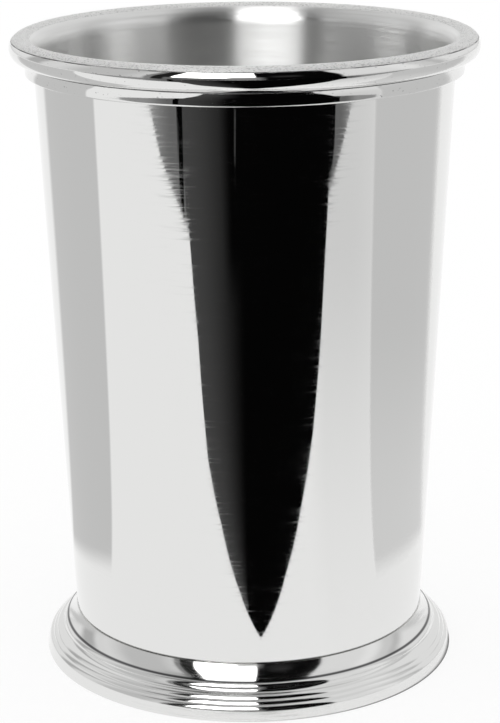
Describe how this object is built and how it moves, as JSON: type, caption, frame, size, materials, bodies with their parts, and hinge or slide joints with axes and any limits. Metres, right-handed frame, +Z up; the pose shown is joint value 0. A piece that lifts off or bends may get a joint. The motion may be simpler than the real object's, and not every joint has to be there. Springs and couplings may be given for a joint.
{
  "type": "julep cup",
  "caption": "Tapered polished pewter drinking cup with a round rim roll, a flat band under it and a hollow stepped foot ring.",
  "frame": {"origin": "on the table, under the middle of the foot", "axes": "+Z up along the cup's own axis, from the foot to the rim"},
  "size_m": [0.0778, 0.0778, 0.108],
  "materials": {
    "polished_pewter": "buffed pewter with fine turning lines",
    "satin_pewter": "turned pewter, satin",
    "solder": "dull tin solder with small pits"
  },
  "bodies": {
    "root": {"cup_wall": "polished_pewter", "base_disc": "satin_pewter", "rim_roll": "polished_pewter", "rim_band": "polished_pewter", "foot_ring": "polished_pewter", "lip_solder": "solder", "band_solder": "solder", "base_solder": "solder", "foot_solder": "solder"}
  },
  "joints": []
}
